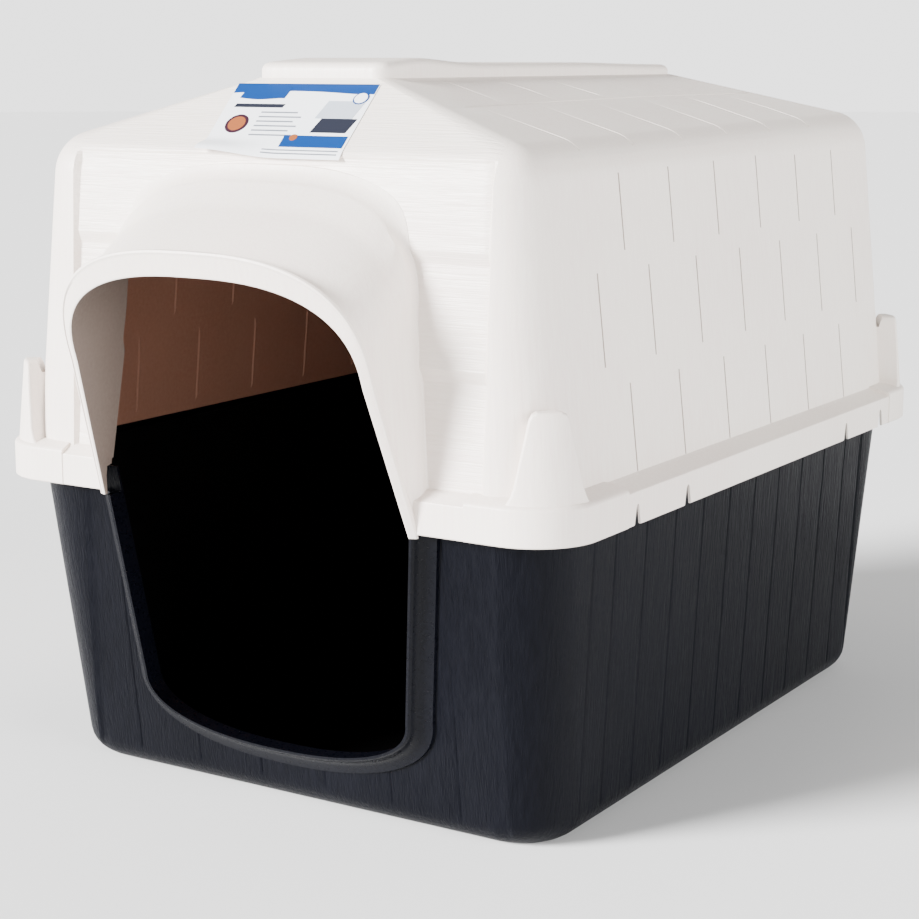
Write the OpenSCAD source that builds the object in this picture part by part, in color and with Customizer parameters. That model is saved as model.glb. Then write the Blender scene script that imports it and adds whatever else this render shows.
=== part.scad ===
// Two-piece moulded kennel: a tub-shaped base, and a barn roof that snaps down over its rim.
// Millimetres. X runs left to right, the doorway faces -Y, +Z is up, and the floor is at Z = 0.

/* [Base] */
// Width of the base at the floor
base_w = 660; // [640:5:680]
// Length of the base at the floor
base_l = 866; // [840:2:880]
// Width of the base just under the rim
rim_w = 696; // [690:2:700]
// Length of the base just under the rim
rim_l = 954; // [944:2:958]
// Radius of the base's upright corners
base_r = 70; // [60:2:80]
// Radius where the walls turn into the floor
floor_r = 30; // [20:2:34]
// Wall thickness of both mouldings
wall = 3; // [2.5:0.5:4]

/* [Roof] */
// Width across the roof's skirt
skirt_w = 760; // [752:2:768]
// Length of the roof's skirt
skirt_l = 992; // [990:2:1000]
// Height of the skirt band
skirt_h = 36; // [32:1:40]
// Width of the roof walls where they meet the skirt
foot_w = 706; // [696:2:712]
// Length of the roof walls where they meet the skirt
foot_l = 966; // [956:2:968]
// Height of the top face of the ridge cap
roof_top = 816; // [806:2:826]
// Width of the ridge cap
cap_w = 169; // [150:1:190]

/* [Doorway] */
// Width of the doorway at the joint between base and roof
door_w = 407; // [390:1:412]
// Height of the sill at the middle of the doorway
sill_z = 70; // [60:1:80]
// Height of the doorway's arch
arch_z = 605; // [590:1:612]

/* [Snap tabs] */
// Width of each snap tab at its hinge line
tab_w = 118; // [100:1:122]
// Distance that the tab's lip reaches in behind the rim
lip_reach = 3.1; // [2:0.1:3.2]

/* [Hidden] */
base_colour = [0.13, 0.14, 0.18];
roof_colour = [0.93, 0.90, 0.84];
card_colour = [0.96, 0.96, 0.97];
eps = 0.01;
arc_fn = 32;

// Heights, from the floor up
skirt_z = 346;
ledge_z = skirt_z + skirt_h;
ledge_t = 2.5;
rim_z = ledge_z - ledge_t - 0.3;
flange_z = rim_z - 12;
cap_z = roof_top - 16;
hood_foot_z = 342;
ear_z = ledge_z + 97;

// Base rim: a flange that turns out, with a bead along its edge that carries the roof
flange_reach = 25.5;
bead_t = 6;
base_gap = 1.5;

// Roof corners and eaves
skirt_r = 71;
foot_r = 72;
eave_r = 50;
eave_x = 267;
eave_y_front = 418;
eave_y_rear = 420;
eave_z_front = 692;
eave_z_rear = 702;
cap_front = -363;
cap_rear = 320;
crest_y = -275;
crest_h = 6;

// Doorway: how the hood leans forward as it rises, and how far the base's lip stands out
hood_lean = 0.35;
hood_front = 500;
hood_t = 5;
front_draft = (rim_l - base_l) / 2 / skirt_z;
lip_out = 17;
lip_w = 12;

// Snap tabs: their middles along the side, and the notches between them and the skirt
tab_front_y = -275;
tab_rear_y = 297;
notch_top_w = 6;
notch_foot_w = 14;
notch_h = 22;
lip_z = flange_z - 5;
lip_h = 4;

// Label card on the front slope
card_w = 175;
card_h = 112;
card_t = 0.5;

// Points of a rectangle with round corners, from half sizes and a corner radius
function round_rect(hx, hy, r, n = 8) = [
    for (q = [0:3])
        for (i = [0:n])
            let (a = 90 * (q + i / n), sx = (q == 0 || q == 3) ? 1 : -1, sy = q < 2 ? 1 : -1)
                [sx * (hx - r) + r * cos(a), sy * (hy - r) + r * sin(a)]
];

// Points of a superellipse arc between two angles; e = 2 gives an ellipse, more gives squarer shoulders
function crown(a, b, zc, e, from, to, n = 20) = [
    for (i = [0:n])
        let (t = from + (to - from) * i / n)
            [a * sign(cos(t)) * pow(abs(cos(t)), 2 / e), zc + b * sign(sin(t)) * pow(abs(sin(t)), 2 / e)]
];

// Outline of an arch: straight sides from its feet to its shoulders, then a crown
function arch(foot_half, foot_z, half, shoulder_z, top_z, e) = concat(
    [[-foot_half, foot_z], [foot_half, foot_z]],
    crown(half, top_z - shoulder_z, shoulder_z, e, 0, 180)
);

// Outline of the doorway through the base: open at the top, with a sill that sags to its middle
function base_door(grow) = concat(
    [[door_w / 2 + 6 + grow, rim_z + 40], [-door_w / 2 - 6 - grow, rim_z + 40]],
    crown(door_w / 2 - 26 + grow, 62 + grow, sill_z + 62, 2.3, 180, 360)
);

function base_half_x(z) = base_w / 2 + (rim_w - base_w) / 2 * z / skirt_z;
function base_half_y(z) = base_l / 2 + (rim_l - base_l) / 2 * z / skirt_z;

// A thin slice of the base at height z, drawn in by inset
module base_slice(z, inset) {
    r = max(base_r - inset, 12);
    translate([0, 0, z])
        linear_extrude(eps)
            polygon(round_rect(base_half_x(z) - inset, base_half_y(z) - inset, r));
}

// The solid body of the base, drawn in by inset on every side
module base_body(inset, top) {
    r = floor_r - inset;
    hull() {
        for (a = [0:22.5:90])
            base_slice(inset + r * (1 - cos(a)), inset + r * (1 - sin(a)));
        base_slice(top - eps, inset);
    }
}

// Room that the roof leaves around the upper part of the base's walls
module base_room() {
    hull() {
        base_slice(skirt_z - 60, -base_gap);
        base_slice(ledge_z - ledge_t, -base_gap);
    }
}

// A thin upright sheet from an outline in X and Z, leaning forward as it rises
module leaning_sheet(outline, y, lean, z0) {
    multmatrix([[1, 0, 0, 0], [0, 1, -lean, y + lean * z0], [0, 0, 1, 0], [0, 0, 0, 1]])
        rotate([90, 0, 0])
            linear_extrude(eps)
                polygon(outline);
}

// Lip around the doorway of the base, standing out from its front wall
module door_lip() {
    top = rim_z - 40;
    difference() {
        intersection() {
            hull() {
                leaning_sheet(base_door(2 * lip_w), -base_l / 2 + wall, front_draft, 0);
                leaning_sheet(base_door(lip_w), -base_l / 2 - lip_out, front_draft, 0);
            }
            translate([-rim_w / 2, -skirt_l, 0])
                cube([rim_w, skirt_l, top + 2]);
        }
        doorway_cut();
        base_body(wall, rim_z + 20);
    }
}

// Space that the doorway takes out of the base's front
module doorway_cut() {
    translate([0, -base_l / 2 + 40, 0])
        rotate([90, 0, 0])
            linear_extrude(120)
                polygon(base_door(0));
}

// Turned-out flange around the rim, with the bead that the roof rests on
module rim_flange() {
    hx = rim_w / 2 + flange_reach;
    hy = min(rim_l / 2 + flange_reach * 0.55, skirt_l / 2 - 8);
    difference() {
        translate([0, 0, flange_z])
            linear_extrude(rim_z - flange_z)
                polygon(round_rect(hx, hy, base_r + 8));
        translate([0, 0, flange_z + wall])
            linear_extrude(rim_z)
                polygon(round_rect(hx - bead_t, hy - bead_t, base_r + 2));
        base_body(wall, rim_z + 20);
        translate([-door_w / 2 - 18, -skirt_l, flange_z - 1])
            cube([door_w + 36, skirt_l / 2 + 60, rim_z]);
    }
}

module base_shell() {
    color(base_colour) {
        difference() {
            base_body(0, flange_z + wall);
            base_body(wall, rim_z + 20);
            doorway_cut();
        }
        rim_flange();
        door_lip();
    }
}

// The solid body of the roof above its ledge, drawn in by inset: foot, eaves and the line of the cap
module roof_body(inset) {
    r = eave_r - inset;
    hull() {
        translate([0, 0, inset > 0 ? skirt_z - 20 : ledge_z - ledge_t])
            linear_extrude(eps)
                polygon(round_rect(foot_w / 2 - inset, foot_l / 2 - inset, foot_r - inset));
        for (sx = [-1, 1]) {
            translate([sx * eave_x, -eave_y_front, eave_z_front])
                sphere(r, $fn = arc_fn);
            translate([sx * eave_x, eave_y_rear, eave_z_rear])
                sphere(r, $fn = arc_fn);
        }
        cap_slice(cap_z - inset, inset);
    }
}

// A thin level slice of the ridge cap
module cap_slice(z, inset) {
    translate([0, (cap_front + cap_rear) / 2, z])
        linear_extrude(eps)
            polygon(round_rect(cap_w / 2 - inset, (cap_rear - cap_front) / 2 - inset, 10));
}

// Ridge cap, with the low crest near its front end
module ridge_cap(inset) {
    hull() {
        cap_slice(cap_z - 2 * inset - 1, inset);
        cap_slice(roof_top - 8 - inset, inset + 2);
        cap_slice(roof_top - inset - eps, inset + 12);
    }
    hull() {
        for (sy = [-1, 1])
            translate([0, crest_y + sy * 45, roof_top - inset - 1])
                linear_extrude(eps)
                    polygon(round_rect(cap_w / 2 - 14 - inset, 2, 1));
        translate([0, crest_y, roof_top + crest_h - inset])
            linear_extrude(eps)
                polygon(round_rect(cap_w / 2 - 20 - inset, 8, 4));
    }
}

// Solid of the hood over the doorway, and, with a positive inset, the passage through it
module hood_body(inset, back) {
    d = inset + (inset > 0 ? 2 : 0);
    foot = hood_foot_z - (inset > 0 ? 30 : 0);
    rim_foot = door_w / 2 + 8 - inset;
    hull() {
        leaning_sheet(arch(rim_foot, foot, door_w / 2 - 5 - inset, 500, arch_z + 28 - 4 * d, 2.8),
            -hood_front - (inset > 0 ? 1 : 0), hood_lean, skirt_z);
        leaning_sheet(arch(door_w / 2 + 17 - inset, foot, door_w / 2 - 3 - inset, 560, 690 - 11 * d, 2.9),
            -foot_l / 2 + back, 0, skirt_z);
    }
}

// Outline of an ear: wide at its foot, sweeping in to a narrow top with round shoulders
module ear_outline() {
    h = ear_z - ledge_z;
    polygon([[-58, 0], [58, 0], [44, 12], [36, 30], [26, h - 6], [20, h], [-20, h], [-26, h - 6], [-36, 30],
        [-44, 12]]);
}

// Raised ear that wraps one corner of the roof, from the skirt up
module corner_ear(sx, sy) {
    cx = sx * (skirt_w / 2 - skirt_r);
    cy = sy * (skirt_l / 2 - skirt_r);
    intersection() {
        hull() {
            translate([cx, cy, ledge_z - 1])
                cylinder(h = eps, r = skirt_r - 1, $fn = 64);
            translate([cx - sx * 12, cy - sy * 8, ear_z])
                cylinder(h = eps, r = skirt_r - 7, $fn = 64);
        }
        translate([cx + sx * 22, cy + sy * 22, ledge_z - 2])
            rotate([0, 0, sx * sy > 0 ? 45 : -45])
                rotate([90, 0, 90])
                    translate([0, 0, sx > 0 ? 0 : -80])
                        linear_extrude(80)
                            ear_outline();
    }
}

// Skirt band with the ledge that joins it to the roof's walls
module skirt() {
    difference() {
        translate([0, 0, skirt_z])
            linear_extrude(skirt_h)
                polygon(round_rect(skirt_w / 2, skirt_l / 2, skirt_r));
        translate([0, 0, skirt_z - 1])
            linear_extrude(skirt_h - ledge_t + 1)
                polygon(round_rect(skirt_w / 2 - wall, skirt_l / 2 - wall, skirt_r - wall));
        for (sx = [-1, 1])
            for (y = [tab_front_y, tab_rear_y])
                tab_gap(sx, y);
    }
}

// Gap in the skirt that one tab and its two notches take up
module tab_gap(sx, y) {
    half_foot = tab_w / 2 + notch_foot_w / 2;
    half_top = tab_w / 2 + notch_top_w / 2;
    top = skirt_h - ledge_t;
    translate([sx * (skirt_w / 2 - 10), y, skirt_z])
        rotate([90, 0, 90])
            translate([0, 0, -10])
                linear_extrude(20)
                    polygon([[-half_foot, -2], [half_foot, -2], [half_top, notch_h], [half_top, top],
                        [-half_top, top], [-half_top, notch_h]]);
}

module roof_shell() {
    color(roof_colour)
        difference() {
            union() {
                roof_body(0);
                ridge_cap(0);
                hood_body(0, 20);
                skirt();
                for (sx = [-1, 1])
                    for (sy = [-1, 1])
                        corner_ear(sx, sy);
            }
            roof_body(wall);
            ridge_cap(wall);
            hood_body(hood_t, 40);
            base_room();
        }
}

// One snap tab: a strip of skirt that hinges along its top edge, with the lip that holds the rim
module snap_tab(sx, y) {
    half_foot = tab_w / 2 - notch_foot_w / 2;
    half_top = tab_w / 2 - notch_top_w / 2;
    top = skirt_h - ledge_t - 0.3;
    color(roof_colour)
        translate([sx * skirt_w / 2, y, skirt_z])
            rotate([90, 0, 90]) {
                translate([0, 0, sx > 0 ? -wall : 0])
                    linear_extrude(wall)
                        polygon([[-half_foot, 0], [half_foot, 0], [half_top, notch_h], [half_top, top],
                            [-half_top, top], [-half_top, notch_h]]);
                translate([0, lip_z - skirt_z + lip_h / 2, sx > 0 ? -wall - lip_reach / 2 : wall + lip_reach / 2])
                    cube([tab_w * 0.6, lip_h, lip_reach + 2 * eps], center = true);
            }
}

// Label card, lying on the front slope just under the cap
module label_card() {
    dy = eave_y_front + cap_front;
    dz = cap_z - eave_z_front;
    slope = atan2(dz, dy) - asin(eave_r / norm([dy, dz]));
    color(card_colour)
        translate([0, cap_front, cap_z])
            rotate([slope, 0, 0])
                translate([-card_w / 2, -card_h - 3, 0.1])
                    cube([card_w, card_h, card_t]);
}

base_shell();
roof_shell();
snap_tab(-1, tab_front_y);  // tab_front_left
snap_tab(1, tab_front_y);  // tab_front_right
snap_tab(-1, tab_rear_y);  // tab_rear_left
snap_tab(1, tab_rear_y);  // tab_rear_right
label_card();
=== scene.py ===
"""Visual model of a two-piece moulded kennel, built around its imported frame.

Sizes are in metres, in the frame's own axes: the doorway faces -Y, +Z is up and the floor is at Z = 0.
"""

import logging
import math
from dataclasses import dataclass
from enum import Enum

import bmesh
import bpy
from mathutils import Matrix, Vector


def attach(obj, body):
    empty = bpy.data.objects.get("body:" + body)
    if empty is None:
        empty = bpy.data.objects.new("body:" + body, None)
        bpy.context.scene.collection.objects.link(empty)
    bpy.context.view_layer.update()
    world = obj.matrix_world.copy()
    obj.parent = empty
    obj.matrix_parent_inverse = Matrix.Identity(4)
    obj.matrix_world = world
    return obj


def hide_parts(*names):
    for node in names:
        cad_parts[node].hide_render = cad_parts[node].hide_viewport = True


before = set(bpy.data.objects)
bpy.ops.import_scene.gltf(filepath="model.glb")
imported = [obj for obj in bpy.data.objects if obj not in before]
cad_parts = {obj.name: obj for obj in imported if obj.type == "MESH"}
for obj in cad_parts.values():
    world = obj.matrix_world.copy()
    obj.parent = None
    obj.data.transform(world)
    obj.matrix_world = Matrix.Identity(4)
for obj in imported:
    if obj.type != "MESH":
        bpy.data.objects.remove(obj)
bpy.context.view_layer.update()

log = logging.getLogger("kennel")

# Steps round each corner of a level ring
CORNER_STEPS = 12
# Turn between two faces from which the edge between them is shaded sharp
SHARP_ANGLE = math.radians(34)
# The same, on a skin whose slight edges have to show
CRISP_ANGLE = math.radians(7)
# How far the inside of a moulding is drawn in from its outside
WALL = 0.003
# Distance under which a point counts as lying on a plane
ON_PLANE = 1e-6
# Distance under which points of a finished piece are merged
MERGE = 2e-5
# Size under which a face or an edge counts as nothing
SPECK = 1e-5

Ring = list[Vector]


class Axis(Enum):
    """One of the frame's axes."""

    X = 0
    Y = 1
    Z = 2

    def unit(self) -> Vector:
        """Unit vector along the axis."""
        return Vector([1.0 if i == self.value else 0.0 for i in range(3)])


class Grain(Enum):
    """Which way the embossed wood grain runs: the numbers stretch the pattern along X, Y and Z."""

    UPRIGHT = (300.0, 300.0, 11.0)
    LEVEL = (9.0, 300.0, 300.0)
    PLAIN = (240.0, 240.0, 240.0)


class Skin(Enum):
    """Material slot of a face on a moulding."""

    OUTSIDE = 0
    PANEL = 1
    # Inside faces, in a darker copy of the plastic: painted shade
    INSIDE = 2
    # The hood's passage, in a darker copy of the cream: painted shade
    PASSAGE = 3
    # Groove sides, in a darker copy of the cream: painted shade
    SCORED = 4


class Boolean(Enum):
    """How one closed mesh is worked into another."""

    JOIN = "UNION"
    CUT = "DIFFERENCE"


# ------------------------------------------------------------------------------------------
# Outlines and lofts


def lerp(a: float, b: float, t: float) -> float:
    """Value a part t of the way from a to b."""
    return a + (b - a) * t


def smooth(t: float) -> float:
    """Soft step from 0 to 1."""
    t = min(max(t, 0.0), 1.0)
    return t * t * (3.0 - 2.0 * t)


def squared(turn: float, square: float) -> tuple[float, float]:
    """Point of a circle of radius 1 that is squared towards its corners.

    Args:
        turn: The angle from the right.
        square: 2 gives a circle, and more gives squarer corners.

    Returns:
        How far across the point lies, and how far up or down, without its sign.
    """
    power = 2.0 / square
    across = math.copysign(abs(math.cos(turn)) ** power, math.cos(turn))
    return across, abs(math.sin(turn)) ** power


def round_rect(half_x: float, half_y: float, radius: float, z: float, mid_y: float = 0.0) -> Ring:
    """Level ring: a rectangle with round corners.

    Args:
        half_x: Half the width.
        half_y: Half the length.
        radius: Corner radius.
        z: Height of the ring.
        mid_y: Y of the ring's middle.

    Returns:
        The ring's points, counter-clockwise from +X.
    """
    ring = []
    for quarter, (sx, sy) in enumerate(((1, 1), (-1, 1), (-1, -1), (1, -1))):
        for step in range(CORNER_STEPS + 1):
            turn = math.radians(90.0 * (quarter + step / CORNER_STEPS))
            x = sx * (half_x - radius) + radius * math.cos(turn)
            y = mid_y + sy * (half_y - radius) + radius * math.sin(turn)
            ring.append(Vector((x, y, z)))
    return ring


@dataclass(frozen=True)
class Arch:
    """Outline of an arch in X and Z: straight legs from the feet to the shoulders, then a crown.

    Attributes:
        foot: Half width at the feet.
        foot_z: Height of the feet.
        half: Half width at the shoulders.
        shoulder_z: Height of the shoulders.
        rise: Height of the crown above the shoulders.
        square: 2 gives an ellipse, and more gives squarer shoulders.
    """

    foot: float
    foot_z: float
    half: float
    shoulder_z: float
    rise: float
    square: float

    FOOT_SHARE = 0.12

    def grown(self, by: float) -> "Arch":
        """The same arch, moved out by a distance all round."""
        half, rise = self.half + by, self.rise + by
        return Arch(self.foot + by, self.foot_z, half, self.shoulder_z, rise, self.square)

    def pinched(self, by: float) -> "Arch":
        """The same arch, drawn in at its shoulders and crown, and hardly at all at its feet.

        Args:
            by: The distance at the shoulders and crown.

        Returns:
            The new arch.
        """
        foot = self.foot - self.FOOT_SHARE * by
        return Arch(foot, self.foot_z, self.half - by, self.shoulder_z, self.rise - by, self.square)

    def points(self, legs: int = 8, crown: int = 44) -> Ring:
        """Points over the arch from its right foot to its left foot, with Y left at 0.

        Args:
            legs: Steps along each leg.
            crown: Steps round the crown.

        Returns:
            The points.
        """
        right = []
        for step in range(legs):
            t = step / legs
            z = lerp(self.foot_z, self.shoulder_z, t)
            right.append(Vector((lerp(self.foot, self.half, t), 0.0, z)))
        over = []
        for step in range(crown + 1):
            across, up = squared(math.pi * step / crown, self.square)
            over.append(Vector((self.half * across, 0.0, self.shoulder_z + self.rise * up)))
        left = [Vector((-p.x, 0.0, p.z)) for p in reversed(right)]
        return right + over + left


def loft(rings: list[Ring]) -> bmesh.types.BMesh:
    """Closed skin through rings that have the same number of points.

    Args:
        rings: The rings in order.

    Returns:
        A closed mesh whose faces point outwards.
    """
    bm = bmesh.new()
    loops = []
    for ring in rings:
        verts = [bm.verts.new(p) for p in ring]
        loops.append([bm.edges.new(pair) for pair in zip(verts, verts[1:] + verts[:1])])
    for lower, upper in zip(loops, loops[1:]):
        bmesh.ops.bridge_loops(bm, edges=lower + upper)
    bmesh.ops.holes_fill(bm, edges=loops[0] + loops[-1], sides=0)
    bmesh.ops.recalc_face_normals(bm, faces=bm.faces)
    return bm


def block(low: tuple[float, float, float], high: tuple[float, float, float]) -> bmesh.types.BMesh:
    """Plain box between two corners.

    Args:
        low: The corner with the lowest coordinates.
        high: The corner with the highest coordinates.

    Returns:
        A closed mesh.
    """
    bm = bmesh.new()
    bmesh.ops.create_cube(bm, size=1.0)
    size = Vector(high) - Vector(low)
    bmesh.ops.scale(bm, vec=size, verts=bm.verts)
    bmesh.ops.translate(bm, vec=Vector(low) + size / 2, verts=bm.verts)
    return bm


def split(bm: bmesh.types.BMesh, at: Vector, normal: Vector) -> None:
    """Divides every face that a plane crosses, along the plane.

    Args:
        bm: The mesh.
        at: A point on the plane.
        normal: The plane's normal.
    """
    geom = bm.verts[:] + bm.edges[:] + bm.faces[:]
    bmesh.ops.bisect_plane(bm, geom=geom, dist=ON_PLANE, plane_co=at, plane_no=normal)


def split_faces(bm: bmesh.types.BMesh, faces: list, axis: Axis, level: float) -> list:
    """Divides some faces along a plane square to an axis.

    Args:
        bm: The mesh.
        faces: The faces to divide.
        axis: The axis.
        level: The plane's place on the axis.

    Returns:
        The faces that result, those that the plane misses among them.
    """
    verts = {v for f in faces for v in f.verts}
    edges = {e for f in faces for e in f.edges}
    geom = list(verts) + list(edges) + faces
    at = axis.unit() * level
    done = bmesh.ops.bisect_plane(bm, geom=geom, dist=ON_PLANE, plane_co=at, plane_no=axis.unit())
    return [g for g in done["geom"] if isinstance(g, bmesh.types.BMFace)]


def round_edges(bm: bmesh.types.BMesh, edges: list, radius: float, segments: int) -> None:
    """Rounds edges over.

    Args:
        bm: The mesh.
        edges: The edges.
        radius: How far the rounding reaches from an edge.
        segments: How many strips it has.
    """
    bmesh.ops.bevel(bm, geom=edges, offset=radius, segments=segments, profile=0.5, affect="EDGES",
                    material=-1)


def trim(bm: bmesh.types.BMesh, at: Vector, away: Vector) -> None:
    """Cuts off what lies on the far side of a plane and closes the cut.

    Args:
        bm: A closed mesh.
        at: A point on the plane.
        away: The direction that points to the part cut off.
    """
    geom = bm.verts[:] + bm.edges[:] + bm.faces[:]
    cut = bmesh.ops.bisect_plane(bm, geom=geom, dist=ON_PLANE, plane_co=at, plane_no=away, clear_outer=True)
    rim = [g for g in cut["geom_cut"] if isinstance(g, bmesh.types.BMEdge)]
    bmesh.ops.holes_fill(bm, edges=rim, sides=0)


def paint(bm: bmesh.types.BMesh, skin: Skin) -> bmesh.types.BMesh:
    """Gives every face of a mesh one skin.

    Args:
        bm: The mesh.
        skin: The skin.

    Returns:
        The same mesh.
    """
    for face in bm.faces:
        face.material_index = skin.value
    return bm


# ------------------------------------------------------------------------------------------
# Scored grooves


@dataclass(frozen=True)
class Groove:
    """A straight V groove scored into a wall, running out to nothing at its ends.

    Attributes:
        across: The axis that the groove's width lies along.
        at: The groove's place on that axis.
        along: The axis that the groove runs along.
        start: Where it starts on that axis.
        end: Where it ends on that axis.
        facing: The way that the wall faces.
        half_width: Half the groove's width.
        depth: How deep the groove is pressed in.
        skin: The skin of the groove's sides, a darker one that paints shade into the groove, or None to
            leave them as they are.
    """

    across: Axis
    at: float
    along: Axis
    start: float
    end: float
    facing: Vector
    half_width: float = 0.0017
    depth: float = 0.0012
    skin: Skin | None = None

    TAPER = 0.007
    LEAST_FACING = 0.22

    def under(self, face: bmesh.types.BMFace) -> bool:
        """Whether the groove runs over a face.

        Args:
            face: The face.

        Returns:
            True if it does.
        """
        if face.normal.dot(self.facing) < self.LEAST_FACING:
            return False
        across = [v.co[self.across.value] for v in face.verts]
        if max(across) < self.at - self.half_width or min(across) > self.at + self.half_width:
            return False
        along = [v.co[self.along.value] for v in face.verts]
        return max(along) > self.start and min(along) < self.end

    def score(self, bm: bmesh.types.BMesh) -> None:
        """Divides a mesh along the groove's lines and presses its middle line in.

        Args:
            bm: The mesh.
        """
        across, along = self.across.value, self.along.value
        faces = [f for f in bm.faces if self.under(f)]
        if not faces:
            return
        for offset in (-self.half_width, 0.0, self.half_width):
            faces = split_faces(bm, faces, self.across, self.at + offset)
        strips = [f for f in faces if abs(f.calc_center_median()[across] - self.at) < self.half_width]
        inner = (self.start + self.TAPER, self.end - self.TAPER)
        for level in (self.start, *inner, self.end):
            strips = split_faces(bm, strips, self.along, level)
        bm.normal_update()
        middle = {v for f in strips for v in f.verts if abs(v.co[across] - self.at) < SPECK}
        for vert in middle:
            if inner[0] - SPECK < vert.co[along] < inner[1] + SPECK:
                vert.co -= vert.normal * self.depth
                # The sides take the darker scored skin: painted shade in the groove
                if self.skin:
                    for face in vert.link_faces:
                        face.material_index = self.skin.value


def score_all(bm: bmesh.types.BMesh, grooves: list[Groove]) -> None:
    """Scores every groove of a list into a mesh.

    Args:
        bm: The mesh.
        grooves: The grooves, in order.
    """
    bm.normal_update()
    for groove in grooves:
        groove.score(bm)


# ------------------------------------------------------------------------------------------
# Workpieces: closed meshes that others are joined to and cut from


def add_object(name: str, data: bpy.types.ID) -> bpy.types.Object:
    """Puts an object into the scene.

    Args:
        name: Its name.
        data: Its mesh, lamp or camera.

    Returns:
        The object.
    """
    made = bpy.data.objects.new(name, data)
    bpy.context.scene.collection.objects.link(made)
    return made


class Workpiece:
    """A closed mesh under construction, with the materials that its faces may take."""

    def __init__(self, name: str, bm: bmesh.types.BMesh, palette: list[bpy.types.Material]) -> None:
        """Starts a piece from its first closed mesh.

        Args:
            name: Name of the finished piece.
            bm: The first mesh, which is used up.
            palette: One material for each skin.
        """
        self.palette = palette
        self.object = self._object(name, bm)

    def _object(self, name: str, bm: bmesh.types.BMesh) -> bpy.types.Object:
        """Turns a mesh under construction into an object in the scene.

        Args:
            name: Name of the object and its mesh.
            bm: The mesh, which is used up.

        Returns:
            The object.
        """
        mesh = bpy.data.meshes.new(name)
        for material in self.palette:
            mesh.materials.append(material)
        bm.to_mesh(mesh)
        bm.free()
        return add_object(name, mesh)

    def work(self, how: Boolean, bm: bmesh.types.BMesh) -> "Workpiece":
        """Joins another closed mesh on, or cuts it out.

        Args:
            how: Which of the two.
            bm: The other mesh, which is used up.

        Returns:
            The piece itself.
        """
        tool = self._object("tool", bm)
        modifier = self.object.modifiers.new("work", "BOOLEAN")
        modifier.operation = how.value
        modifier.solver = "MANIFOLD"
        modifier.object = tool
        depsgraph = bpy.context.evaluated_depsgraph_get()
        worked = bpy.data.meshes.new_from_object(self.object.evaluated_get(depsgraph))
        self.object.modifiers.clear()
        spent = (self.object.data, tool.data)
        self.object.data = worked
        bpy.data.objects.remove(tool)
        for mesh in spent:
            bpy.data.meshes.remove(mesh)
        return self

    def copy(self) -> bmesh.types.BMesh:
        """A copy of the piece's mesh as it stands."""
        bm = bmesh.new()
        bm.from_mesh(self.object.data)
        return bm

    def take(self) -> bmesh.types.BMesh:
        """Ends the work on a part of a larger piece.

        Returns:
            The part's mesh; its object is removed.
        """
        bm = self.copy()
        mesh = self.object.data
        bpy.data.objects.remove(self.object)
        bpy.data.meshes.remove(mesh)
        return bm

    def finish(self, body: str, slot: str, nodes: list[str], crisp: Skin | None = None) -> bpy.types.Object:
        """Cleans the mesh, smooths its shading and puts the piece on its body.

        Args:
            body: The body that it rides on.
            slot: The record's material slot; not used.
            nodes: The nodes that it stands for.
            crisp: A skin on which even a slight edge stays sharp.

        Returns:
            The finished object.
        """
        bm = self.copy()
        bmesh.ops.remove_doubles(bm, verts=bm.verts, dist=MERGE)
        bmesh.ops.dissolve_degenerate(bm, dist=SPECK, edges=bm.edges)
        for face in bm.faces:
            face.smooth = True
        for edge in bm.edges:
            on_crisp = crisp and all(face.material_index == crisp.value for face in edge.link_faces)
            edge.smooth = edge.calc_face_angle(0.0) < (CRISP_ANGLE if on_crisp else SHARP_ANGLE)
        bm.to_mesh(self.object.data)
        bm.free()
        shading = self.object.modifiers.new("even_shading", "WEIGHTED_NORMAL")
        shading.keep_sharp = True
        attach(self.object, body)
        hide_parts(*nodes)
        log.info("%s: %d faces on body %s", self.object.name, len(self.object.data.polygons), body)
        return self.object


# ------------------------------------------------------------------------------------------
# Finishes


def new_material(name: str) -> tuple[bpy.types.Material, bpy.types.NodeTree, bpy.types.Node]:
    """Starts a material.

    Args:
        name: Its name.

    Returns:
        The material, its node tree and its shader.
    """
    made = bpy.data.materials.new(name)
    made.use_nodes = True
    return made, made.node_tree, made.node_tree.nodes["Principled BSDF"]


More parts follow.
